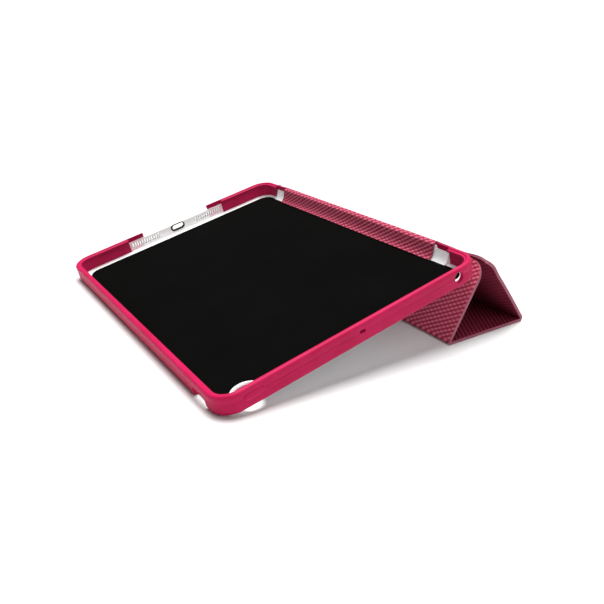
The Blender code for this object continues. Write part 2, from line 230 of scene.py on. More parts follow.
def stack(name, layers, matrix=None, axis="Z"):
    """Closed body through outlines of equal length, each at its own level."""
    count = len(layers[0][0])
    verts = []
    for outline, level in layers:
        for a, b in outline:
            verts.append((level, a, b) if axis == "X" else (a, b, level))
    faces = [tuple(range(count)), tuple((len(layers) - 1) * count + i for i in range(count))]
    for k in range(len(layers) - 1):
        for i in range(count):
            j = (i + 1) % count
            low = k * count
            high = low + count
            faces.append((low + i, low + j, high + j, high + i))
    item = new_object(name, verts, faces, matrix)
    tidy_normals(item)
    return item


def soft_plate(name, outline, low, high, edge, matrix=None, axis="Z", steps=4):
    """Plate with rounded upper and lower edges."""
    layers = []
    for i in range(steps + 1):
        turn = QUARTER * i / steps
        layers.append((offset_outline(outline, edge * (1 - math.sin(turn))),
                       low + edge * (1 - math.cos(turn))))
    for i in range(steps + 1):
        turn = QUARTER * i / steps
        layers.append((offset_outline(outline, edge * (1 - math.cos(turn))),
                       high - edge * (1 - math.sin(turn))))
    return stack(name, layers, matrix, axis)


# ---------------------------------------------------------------- materials

class Nodes:
    """Short way to write a node tree."""

    def __init__(self, name):
        self.material = bpy.data.materials.new(name)
        self.material.use_nodes = True
        self.tree = self.material.node_tree
        self.shader = self.tree.nodes["Principled BSDF"]

    def add(self, kind, values=None, **props):
        node = self.tree.nodes.new(kind)
        for key, value in props.items():
            setattr(node, key, value)
        for key, value in (values or {}).items():
            if isinstance(value, bpy.types.NodeSocket):
                self.tree.links.new(value, node.inputs[key])
            else:
                node.inputs[key].default_value = value
        return node

    def math(self, operation, a, b=0.0, clamp=False):
        node = self.add("ShaderNodeMath", {0: a, 1: b}, operation=operation, use_clamp=clamp)
        return node.outputs[0]

    def mix(self, factor, a, b):
        node = self.add("ShaderNodeMix", data_type="RGBA")
        for key, value in ((0, factor), (6, a), (7, b)):
            if isinstance(value, bpy.types.NodeSocket):
                self.tree.links.new(value, node.inputs[key])
            else:
                node.inputs[key].default_value = value
        return node.outputs[2]

    def ramp(self, value, stops):
        node = self.add("ShaderNodeValToRGB", {0: value})
        while len(node.color_ramp.elements) < len(stops):
            node.color_ramp.elements.new(0.5)
        for element, (place, level) in zip(node.color_ramp.elements, stops):
            element.position = place
            element.color = (level, level, level, 1.0)
        return node.outputs[0]

    def set(self, **values):
        for key, value in values.items():
            name = key.replace("_", " ")
            socket = self.shader.inputs[name]
            if isinstance(value, bpy.types.NodeSocket):
                self.tree.links.new(value, socket)
            else:
                socket.default_value = value

    def bump(self, height, strength, distance):
        node = self.add("ShaderNodeBump",
                        {"Height": height, "Strength": strength, "Distance": distance})
        self.tree.links.new(node.outputs[0], self.shader.inputs["Normal"])


def noise(tree, coords, scale, detail=3.0, roughness=0.55):
    node = tree.add("ShaderNodeTexNoise", {"Vector": coords, "Scale": scale, "Detail": detail,
                                           "Roughness": roughness})
    return node.outputs["Fac"]


def tpu_material(name, colour, deep):
    """Soft translucent pink plastic: faint clouding, fine moulding grain, satin sheen."""
    t = Nodes(name)
    place = t.add("ShaderNodeTexCoord").outputs["Object"]
    cloud = noise(t, place, 55.0, 4.0)
    grain = noise(t, place, 2600.0, 2.0)
    t.set(Base_Color=t.mix(t.ramp(cloud, [(0.35, 0.0), (0.7, 1.0)]), colour, deep))
    rough = t.math("MULTIPLY_ADD", grain, 0.12)
    rough.node.inputs[2].default_value = 0.42
    t.set(Roughness=rough)
    t.set(Subsurface_Weight=0.12, Subsurface_Radius=(0.9, 0.12, 0.2), Subsurface_Scale=0.002)
    t.set(Specular_IOR_Level=0.12)
    t.bump(grain, 0.10, 0.0002)
    return t.material


def shell_material(name, rough, transmission, tint, glow=0.0, cast=None):
    """Frosted hard plastic with a very fine spark-eroded grain.

    glow is a small emission that stands in for light scattered inside the plastic. cast tints
    the wall towards both of its ends, and stands in for the pink strip seen through it.
    """
    t = Nodes(name)
    place = t.add("ShaderNodeTexCoord").outputs["Object"]
    grain = noise(t, place, 3200.0, 2.0)
    cloud = noise(t, place, 30.0, 3.0)
    colour = t.mix(cloud, tint, tuple(min(1.0, 1.04 * c) for c in tint[:3]) + (1.0,))
    if cast is not None:
        y = t.add("ShaderNodeSeparateXYZ", {0: place}).outputs[1]
        away = t.math("ABSOLUTE", t.math("SUBTRACT", y, PORT_MIDDLE_Y))
        zone = t.add("ShaderNodeMapRange", {"Value": away, "From Min": PORT_STRIP_GAP - 1.5 * MM,
                                            "From Max": PORT_STRIP_GAP + 1.0 * MM})
        colour = t.mix(zone.outputs[0], colour, cast)
    t.set(Base_Color=colour)
    value = t.math("MULTIPLY_ADD", grain, 0.15)
    value.node.inputs[2].default_value = rough
    t.set(Roughness=value)
    t.set(Transmission_Weight=transmission, IOR=1.45)
    t.set(Subsurface_Weight=0.25, Subsurface_Radius=(0.6, 0.6, 0.6), Subsurface_Scale=0.002)
    t.set(Emission_Color=tint, Emission_Strength=glow)
    t.bump(grain, 0.15, 0.0002)
    return t.material


def microfibre_material():
    """Short black nap: fine fibre noise with slightly brushed patches."""
    t = Nodes("microfibre_nap")
    place = t.add("ShaderNodeTexCoord").outputs["Object"]
    fibre = noise(t, place, 1900.0, 4.0, 0.7)
    patch = noise(t, place, 26.0, 3.0)
    t.set(Base_Color=t.mix(t.math("MULTIPLY", fibre, patch), (0.0014, 0.0016, 0.0014, 1.0),
                           (0.0045, 0.0048, 0.0045, 1.0)))
    t.set(Roughness=1.0, Specular_IOR_Level=0.02)
    t.set(Sheen_Weight=0.002, Sheen_Roughness=0.6, Sheen_Tint=(0.5, 0.5, 0.52, 1.0))
    t.bump(fibre, 0.5, 0.0004)
    return t.material


# Repeat of the weave along the fold and along the cover, and radians of thread per metre
WEAVE_X = 4.75 * MM
WEAVE_S = 3.0 * MM
THREAD_RATE = 9500.0


def cloth_material(name, light, mid, gap_shade):
    """Coarse diamond weave on the cloth coordinates: metres along the fold and along the cover.

    The mesh is smooth; the weave is colour and bump, with painted highlight on crowns, painted
    shade in gaps.
    """
    t = Nodes(name)
    uv = t.add("ShaderNodeUVMap", uv_map="cloth").outputs[0]
    parts = t.add("ShaderNodeSeparateXYZ", {0: uv})
    u = t.math("MULTIPLY", parts.outputs[0], 1.0 / WEAVE_X)
    v = t.math("MULTIPLY", parts.outputs[1], 1.0 / WEAVE_S)
    first = t.math("ADD", u, v)
    second = t.math("SUBTRACT", u, v)
    # each cell is a raised float of thread: long one way, narrow the other
    along, across = [
        t.math("MULTIPLY",
               t.math("ABSOLUTE", t.math("SUBTRACT", t.math("FRACT", value), 0.5)), 2.0)
        for value in (first, second)
    ]
    body = t.math("MULTIPLY", t.ramp(along, [(0.0, 1.0), (0.6, 0.92), (0.85, 0.45), (1.0, 0.0)]),
                  t.ramp(across, [(0.0, 1.0), (0.3, 0.9), (0.62, 0.3), (1.0, 0.0)]))
    # threads inside each diamond
    wave = t.math("SINE", t.math("MULTIPLY", parts.outputs[0], THREAD_RATE))
    threads = t.math("MULTIPLY_ADD", wave, 0.5)
    threads.node.inputs[2].default_value = 0.5
    height = t.math("ADD", body, t.math("MULTIPLY", threads, 0.10))
    place = t.add("ShaderNodeTexCoord").outputs["Object"]
    speck = noise(t, place, 700.0, 3.0)
    highlight_patches = noise(t, place, 22.0, 3.0)
    shade = t.math("ADD", t.math("MULTIPLY", speck, 0.5), 0.7)
    # painted shade: the gap colour darkens the grooves between the floats
    tone = t.mix(t.math("MULTIPLY", body, shade), gap_shade, mid)
    # painted highlight: each float's crown takes the light colour, varied in large patches
    crown = t.ramp(body, [(0.25, 0.0), (0.62, 0.8), (0.95, 1.0)])
    lit = t.math("MULTIPLY", crown, t.math("ADD", t.math("MULTIPLY", highlight_patches, 0.5), 0.55), clamp=True)
    t.set(Base_Color=t.mix(lit, tone, light))
    rough = t.math("MULTIPLY_ADD", body, -0.12)
    rough.node.inputs[2].default_value = 0.72
    t.set(Roughness=rough, Specular_IOR_Level=0.14)
    t.set(Sheen_Weight=0.03, Sheen_Roughness=0.4, Sheen_Tint=(1.0, 0.6, 0.7, 1.0))
    t.bump(height, 0.9, 0.00035)
    return t.material


def edge_material():
    """Cut and sealed cloth edge: paler, with the layers' fibres showing."""
    t = Nodes("cover_edge")
    place = t.add("ShaderNodeTexCoord").outputs["Object"]
    fibre = noise(t, place, 1500.0, 3.0)
    t.set(Base_Color=t.mix(fibre, (0.24, 0.045, 0.08, 1.0), (0.38, 0.11, 0.16, 1.0)))
    t.set(Roughness=0.7)
    t.bump(fibre, 0.3, 0.0003)
    return t.material


TPU = tpu_material("bumper_pink", (0.50, 0.0088, 0.080, 1.0), (0.43, 0.0052, 0.058, 1.0))
FROST = shell_material("shell_frosted", 0.45, 0.12, (0.92, 0.92, 0.93, 1.0), 0.10)
CLEARER = shell_material("shell_clearer", 0.30, 0.2, (0.86, 0.85, 0.84, 1.0), 0.10,
                         (0.80, 0.55, 0.58, 1.0))
# painted shade: the speaker slots' walls are coloured dark red-brown for the shade inside the
# slots
SLOT_PAINTED_SHADE = shell_material("shell_slot_painted_shade", 0.45, 0.0, (0.12, 0.025, 0.04, 1.0))
# painted shade: the port hole's walls and the ring faces behind it are coloured near black for the
# shade inside the opening
PORT_PAINTED_SHADE = shell_material("shell_port_painted_shade", 0.12, 0.1, (0.03, 0.022, 0.018, 1.0))
NAP = microfibre_material()
# colours: painted highlight on the crowns, mid tone, painted shade in the gaps
WEAVE = cloth_material("woven_pink", (0.68, 0.165, 0.245, 1.0), (0.56, 0.075, 0.14, 1.0),
                       (0.32, 0.018, 0.055, 1.0))
INNER = cloth_material("woven_inner", (0.38, 0.038, 0.08, 1.0), (0.27, 0.018, 0.048, 1.0),
                       (0.10, 0.004, 0.014, 1.0))
EDGE = edge_material()


def finish_piece(item, body, material, angle):
    if material is not None:
        item.data.materials.append(material)
    smooth(item, angle)
    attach(item, body)


# ---------------------------------------------------------------- bumper

def bumper_section():
    """Outline of the rim's section: inward distance and height."""
    low_r = 2.0 * MM
    top_r = 1.7 * MM
    ridge = 7.35 * MM
    points = arc((low_r, low_r), low_r, -QUARTER, -math.pi, 8)
    points += [(0.0, ridge - 0.45 * MM), (0.14 * MM, ridge - 0.15 * MM),
               (0.14 * MM, ridge + 0.05 * MM), (0.0, ridge + 0.3 * MM)]
    points += arc((top_r, HEIGHT + CROWN - top_r), top_r, math.pi, QUARTER - 0.35, 8)
    points += [(LIP - 1.15 * MM, HEIGHT + 0.22 * MM), (LIP - 0.8 * MM, HEIGHT + 0.2 * MM)]
    points += arc((LIP - 0.42 * MM, HEIGHT - 0.32 * MM), 0.42 * MM, QUARTER, 0.0, 4)
    points += [(LIP, LIP_UNDER + 0.35 * MM), (LIP - 0.3 * MM, LIP_UNDER),
               (WALL + 0.15 * MM, LIP_UNDER - 0.1 * MM), (WALL, LIP_UNDER - 0.5 * MM), (WALL, 0.0)]
    return points


def sweep_rim(name, start, corners, end):
    """Rim's section carried from one straight end round the corners to the other end."""
    steps = 28
    rings = [start]
    for x, y, angle in corners:
        for i in range(steps + 1):
            rings.append((x, y, CORNER_R, angle + QUARTER * i / steps))
    rings.append(end)
    section = bumper_section()
    size = len(section)
    verts = []
    for x, y, radius, turn in rings:
        for inward, up in section:
            reach = radius - inward
            verts.append((x + reach * math.cos(turn), y + reach * math.sin(turn), up))
    faces = []
    for ring in range(len(rings) - 1):
        for i in range(size):
            j = (i + 1) % size
            a = ring * size
            faces.append((a + i, a + j, a + size + j, a + size + i))
    faces.append(tuple(range(size)))
    last = (len(rings) - 1) * size
    faces.append(tuple(last + i for i in range(size)))
    item = new_object(name, verts, faces)
    tidy_normals(item)
    return item


def end_cutter(lows, highs, along_x):
    """Cutter that leaves only the thin outer strip, with a square step."""
    deep = 9 * MM
    if along_x:
        skin = WIDTH - NOTCH_STRIP
        outline = [(skin - deep, -MM), (WIDTH + MM, -MM), (WIDTH + MM, NOTCH_STRIP_Z),
                   (skin, NOTCH_STRIP_Z), (skin, HEIGHT + 3 * MM), (skin - deep, HEIGHT + 3 * MM)]
        return stack("cutter", [(outline, lows), (outline, highs)], None, "X")
    skin = -LENGTH / 2 + NOTCH_STRIP
    outline = [(skin + deep, -MM), (skin + deep, HEIGHT + 3 * MM), (skin, HEIGHT + 3 * MM),
               (skin, NOTCH_STRIP_Z), (-LENGTH / 2 - MM, NOTCH_STRIP_Z), (-LENGTH / 2 - MM, -MM)]
    item = stack("cutter", [(outline, lows), (outline, highs)], SWAP_XY, "X")
    tidy_normals(item)
    return item


def side_hole(outline, flare, depth=4 * MM):
    """Cutter through the power-key side, flared where it meets the outer face."""
    face = LENGTH / 2
    layers = [(outline, face - depth), (outline, face - flare)]
    for i in range(1, 5):
        turn = QUARTER * i / 4
        layers.append((offset_outline(outline, -flare * (1 - math.cos(turn))),
                       face - flare * (1 - math.sin(turn))))
    layers.append((offset_outline(outline, -flare), face + MM))
    return stack("cutter", layers, None, "X")


def build_bumper():
    left = -LENGTH / 2
    middle = WIDTH / 2
    half = LENGTH / 2 - CORNER_R
    corners = [(-half, CORNER_R, 2 * QUARTER), (half, CORNER_R, 3 * QUARTER),
               (half, WIDTH - CORNER_R, 0.0), (-half, WIDTH - CORNER_R, QUARTER)]
    main = sweep_rim("rim_main", (left, middle - PORT_STRIP_GAP, 0.0, math.pi), corners[:3],
                     (HINGE_STRIP_GAP, WIDTH, 0.0, QUARTER))
    corner = sweep_rim("rim_corner", (-HINGE_STRIP_GAP, WIDTH, 0.0, QUARTER), corners[3:],
                       (left, middle + PORT_STRIP_GAP, 0.0, math.pi))
    jack = arc((JACK_Y, SIDE_HOLE_Z), JACK_R, 0.0, 4 * QUARTER * 47 / 48, 47)
    mic = pill((MIC_Y, SIDE_HOLE_Z + 0.6 * MM), (3.8 * MM, 1.8 * MM))
    slot = pill((KEY_Y, SIDE_HOLE_Z), (KEY_SIZE[0] + 0.16 * MM, KEY_SIZE[1] + 0.16 * MM))
    volume = rounded_rectangle(VOLUME_X[0], -4 * MM, VOLUME_X[1], VOLUME_TOP,
                               [0, 0, 2 * MM, 2 * MM], 6)
    volume_cut = stack("cutter", [(volume, -MM), (volume, 4 * MM)], ALONG_Y)
    tidy_normals(volume_cut)
    apply_cut(main, [
        end_cutter(middle - PORT_GAP, middle - 20 * MM, False),
        end_cutter(80 * MM, HINGE_GAP, True),
        side_hole(jack, 0.45 * MM), side_hole(mic, 0.35 * MM), side_hole(slot, 0.12 * MM),
        volume_cut,
    ])
    apply_cut(corner, [
        end_cutter(middle + 20 * MM, middle + PORT_GAP, False),
        end_cutter(-HINGE_GAP, -80 * MM, True),
    ])
    for item, node in ((main, "bumper_main"), (corner, "bumper_corner")):
        item.data.transform(TRAY)
        finish_piece(item, "tray", TPU, 32.0)
        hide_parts(node)


def build_key():
    """Moulded key with a domed face and a raised pill along its middle."""
    outline = pill((KEY_Y, SIDE_HOLE_Z), KEY_SIZE, 12)
    face = LENGTH / 2
    layers = [(outline, face - 2.1 * MM), (outline, face)]
    for i in range(1, 6):
        turn = QUARTER * i / 5
        layers.append((offset_outline(outline, 0.7 * MM * (1 - math.cos(turn))),
                       face + 0.3 * MM * math.sin(turn) - 0.05 * MM))
    for inward, proud in ((1.2, 0.36), (1.6, 0.50), (1.9, 0.53)):
        layers.append((offset_outline(outline, inward * MM), face + proud * MM))
    key = stack("power_key_cap", layers, TRAY, "X")
    finish_piece(key, "power_key", TPU, 40.0)
    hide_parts("power_key")


# ---------------------------------------------------------------- shell and pad

# Section of the shell's inner cove at the hinge wall: forward of the wall, and height
COVE = ((0.1, 8.5), (0.6, 7.2), (1.2, 5.9), (1.9, 4.6), (2.75, 3.4), (3.7, 2.5), (4.8, 1.8),
        (5.4, 1.25))


def build_shell():
    inset = WALL + 0.1 * MM
    half = LENGTH / 2
    middle = WIDTH / 2
    outline = rounded_rectangle(-half + inset, inset, half - inset, WIDTH - inset,
                                [CORNER_R - inset] * 4, 16)
    shell = soft_plate("shell_tray", outline, 0.0, SHELL_FLOOR, 0.25 * MM)
    # wall section at the charging port: leans out a little and has a rounded top
    side = PORT_GAP - 0.3 * MM
    out = -half + 1.0 * MM
    inner = -half + 2.4 * MM
    top = NOTCH_STRIP_Z - 0.15 * MM
    section = [(out, 1.2 * MM), (out + 1.0 * MM, 0.1 * MM), (inner + 2.2 * MM, 0.1 * MM),
               (inner + 2.2 * MM, 1.2 * MM), (inner + 0.9 * MM, 1.35 * MM),
               (inner + 0.3 * MM, 1.8 * MM), (inner, 2.8 * MM)]
    section += arc((inner - 0.6 * MM, top - 0.6 * MM), 0.6 * MM, 0.0, 2 * QUARTER, 8)
    ends = [(section, middle - side), (section, middle + side)]
    port_wall = stack("cutter", ends, ALONG_Y)
    tidy_normals(port_wall)
    # wall section behind the woven band
    reach = HINGE_GAP - 0.3 * MM
    outer_y = WIDTH - 1.0 * MM
    inner_y = WIDTH - 2.4 * MM
    section = [(inner_y - 5.4 * MM, 0.1 * MM), (outer_y - 1.6 * MM, 0.1 * MM),
               (outer_y - 0.5 * MM, 0.6 * MM), (outer_y, 1.7 * MM)]
    section += arc((outer_y - 0.6 * MM, HINGE_WALL_TOP - 0.6 * MM), 0.6 * MM, 0.0, 2 * QUARTER, 8)
    section += [(inner_y - a * MM, b * MM) for a, b in COVE]
    hinge_wall = stack("cutter", [(section, -reach), (section, reach)], None, "X")
    tidy_normals(hinge_wall)
    apply_cut(shell, [port_wall, hinge_wall], "UNION")
    # raised ring round the charging port
    ring = [(pill((middle, PORT_RING_Z), PORT_RING_OUTER, 12), -half + 0.95 * MM),
            (pill((middle, PORT_RING_Z), PORT_RING_INNER, 12), -half + 2.8 * MM)]
    apply_cut(shell, [stack("cutter", ring, None, "X")], "UNION")
    cutters = []
    # the hinge wall is lower at both ends, beside the band
    notch = [(inner_y - MM, NOTCH_STRIP_Z - 0.1 * MM), (WIDTH, NOTCH_STRIP_Z - 0.1 * MM),
             (WIDTH, 12 * MM), (inner_y - MM, 12 * MM)]
    for sign in (-1, 1):
        ends = sorted((sign * 88.4 * MM, sign * 101 * MM))
        cutters.append(stack("cutter", [(notch, ends[0]), (notch, ends[1])], None, "X"))
    camera = arc(CAMERA_AT, CAMERA_R, 0.0, 4 * QUARTER * 63 / 64, 63)
    cutters.append(stack("cutter", [(camera, -MM), (camera, 3 * MM)]))
    through = (-half - MM, -half + 4.5 * MM)
    holes = [pill((middle + PORT_SIDEWAYS, PORT_AT_Z), PORT_HOLE, 12)]
    slot = pill((0.0, 0.0), SLOT_SIZE, 5)
    for sign in (-1, 1):
        for i in range(SLOT_COUNT):
            y = middle + sign * (SLOT_FIRST_MM + SLOT_PITCH_MM * i) * MM
            holes.append([(y - b, SLOT_Z + a) for a, b in slot])
    for hole in holes:
        cutters.append(stack("cutter", [(hole, through[0]), (hole, through[1])], None, "X"))
    apply_cut(shell, cutters)
    clearer, slot_painted_shade, port_painted_shade = 1, 2, 3
    for material in (FROST, CLEARER, SLOT_PAINTED_SHADE, PORT_PAINTED_SHADE):
        shell.data.materials.append(material)
    for face in shell.data.polygons:
        centre = face.center
        if centre.x < -half + WALL + 0.5 * MM and centre.z > 1.6 * MM:
            offset = abs(centre.y - middle)
            cut_wall = abs(face.normal.x) < 0.4 and 2.6 * MM < centre.z < 8.3 * MM
            at_ring = offset < 6.5 * MM and centre.z > 2.4 * MM
            face.material_index = clearer
            # painted shade: walls of the port hole and its raised ring take the near-black port
            # colour
            if at_ring and (cut_wall or centre.x > -half + 2.5 * MM):
                face.material_index = port_painted_shade
            # painted shade: slot walls take the dark slot colour
            elif cut_wall and offset < 40.5 * MM:
                face.material_index = slot_painted_shade
    shell.data.transform(TRAY)
    finish_piece(shell, "tray", None, 32.0)
    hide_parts("back_shell")


def build_pad():
    half = LENGTH / 2
    outline = rounded_rectangle(-half + PAD_PORT_SIDE, PAD_FRONT, half - PAD_KEY_SIDE,
                                WIDTH - PAD_BACK, [8 * MM] * 4, 14)
    pad = soft_plate("lining_nap", outline, 1.36 * MM, 1.95 * MM, 0.22 * MM)
    camera = arc(CAMERA_AT, PAD_CAMERA_R, 0.0, 4 * QUARTER * 63 / 64, 63)
    apply_cut(pad, [stack("cutter", [(camera, 0.0), (camera, 4 * MM)])])
    pad.data.transform(TRAY)
    finish_piece(pad, "tray", NAP, 50.0)
    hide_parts("lining_pad")


# ---------------------------------------------------------------- cover cloth

STEP_X = 2.0 * MM


def smoothstep(t):
    t = min(max(t, 0.0), 1.0)
    return t * t * (3.0 - 2.0 * t)


def cloth_loft(name, rows, thickness, matrix, lift=None):
    """Closed strip of cloth.

    rows: (y, z, normal y, normal z, half width, distance along the cover); the woven face is on
    the normal's side. Material 0 is the woven face, 1 the inner face, 2 the edges.
    """
    count = 2 * int(round(PANEL_HALF / STEP_X)) + 1
    verts = []
    uvs = []
    for side in (1, -1):
        for y, z, ny, nz, half, s in rows:
            for i in range(count):
                t = -1.0 + 2.0 * i / (count - 1)
                x = t * half
                out = side * thickness / 2
                if lift is not None:
                    out += lift(s) * smoothstep((abs(x) - 101 * MM) / (16 * MM))
                verts.append((x, y + ny * out, z + nz * out))
                uvs.append((x, s))
    faces = []
    kinds = []
    size = len(rows) * count

    def at(side, row, i):
        return side * size + row * count + i

    for r in range(len(rows) - 1):
        for i in range(count - 1):
            faces.append((at(0, r, i), at(0, r, i + 1), at(0, r + 1, i + 1), at(0, r + 1, i)))
            kinds.append(0)
            faces.append((at(1, r, i), at(1, r + 1, i), at(1, r + 1, i + 1), at(1, r, i + 1)))
            kinds.append(1)
    last = len(rows) - 1
    for i in range(count - 1):
        for r in (0, last):
            faces.append((at(0, r, i), at(1, r, i), at(1, r, i + 1), at(0, r, i + 1)))
            kinds.append(2)
    for r in range(last):
        for i in (0, count - 1):
            faces.append((at(0, r, i), at(0, r + 1, i), at(1, r + 1, i), at(1, r, i)))
            kinds.append(2)
    item = new_object(name, verts, faces, None, uvs)
    for face, kind in zip(item.data.polygons, kinds):
        face.material_index = kind
    item.data.transform(matrix)
    tidy_normals(item)
    for material in (WEAVE, INNER, EDGE):
        item.data.materials.append(material)
    return item


def flat_rows(low, high, offset, widths, s0, steps=24):
    """Rows of a flat panel in its own frame: along y, at height offset, woven face up (+z)."""
    rows = []
    for i in range(steps + 1):
        y = low + (high - low) * i / steps
        rows.append((y, offset, 0.0, 1.0, widths(y), s0 + (y - low)))
    return rows


def bent_rows(points, s0):
    """Rows along a polyline with its left normal; their width is filled in by with_width."""
    rows = []
    s = s0
    for i, (y, z) in enumerate(points):
        before = points[max(i - 1, 0)]
        after = points[min(i + 1, len(points) - 1)]
        dy, dz = after[0] - before[0], after[1] - before[1]
        size = math.hypot(dy, dz)
        if i:
            s += math.hypot(y - before[0], z - before[1])
        rows.append((y, z, -dz / size, dy / size, None, s))
    return rows


def curve_through(points, steps):
    """Catmull-Rom curve through points."""
    dense = []
    for i in range(len(points) - 1):
        p0 = Vector(points[max(i - 1, 0)])
        p1 = Vector(points[i])
        p2 = Vector(points[i + 1])
        p3 = Vector(points[min(i + 2, len(points) - 1)])
        for k in range(steps):
            t = k / steps
            a = 2 * p1 + (p2 - p0) * t + (2 * p0 - 5 * p1 + 4 * p2 - p3) * t * t
            a += (3 * p1 - p0 - 3 * p2 + p3) * t ** 3
            dense.append(tuple(a * 0.5))
    dense.append(points[-1])
    return dense


root_axis = Vector(JOINTS["hinge_root"]["pos_m"])
apex_axis = Vector(JOINTS["hinge_edge"]["pos_m"])
fold_1_axis = Vector(JOINTS["fold_1"]["pos_m"])
fold_2_axis = Vector(JOINTS["fold_2"]["pos_m"])
STRIP_DIR = math.atan2(apex_axis.z - root_axis.z, apex_axis.y - root_axis.y)
STRIP_LONG = (apex_axis - root_axis).length
OUTER_DIR = math.radians(-50.5)
FREE_DIR = math.radians(60.8)
MIDDLE_LONG = fold_1_axis.y - fold_2_axis.y
FREE_LONG = 49.2 * MM
outer_drop = apex_axis.z - FOLD_OFFSET * math.cos(OUTER_DIR) - fold_1_axis.z
outer_long = outer_drop / -math.sin(OUTER_DIR)
BAND_HALF = 87.4 * MM
CORNER_LONG = 18.0 * MM
APEX_BULGE = 0.2 * MM
CORNER_LIFT = 1.3 * MM
PANEL_BOW = 0.9 * MM


def to_world(y, z):
    point = TRAY @ Vector((0.0, y, z))
    return (point.y, point.z)


def strip_half(s):
    """Half width of the cover from its free strip on: narrow, then one big rounded corner."""
    t = (s - 1.4 * MM) / (CORNER_LONG - 1.4 * MM)
    if t <= 0:
        return BAND_HALF
    swell = (1.0 - (1.0 - min(t, 1.0)) ** 2.2) ** 0.8
    return 88.0 * MM + (PANEL_HALF - 88.0 * MM) * swell


def with_width(rows, width):
    return [(y, z, ny, nz, width if half is None else half, s) for y, z, ny, nz, half, s in rows]


# Section of the woven band up the hinge wall: forward of the wall, and height
BAND = ((5.6, 2.3), (4.6, 2.85), (3.6, 3.75), (2.75, 4.9), (2.05, 6.2), (1.5, 7.6), (1.0, 9.0),
        (0.45, 10.5))


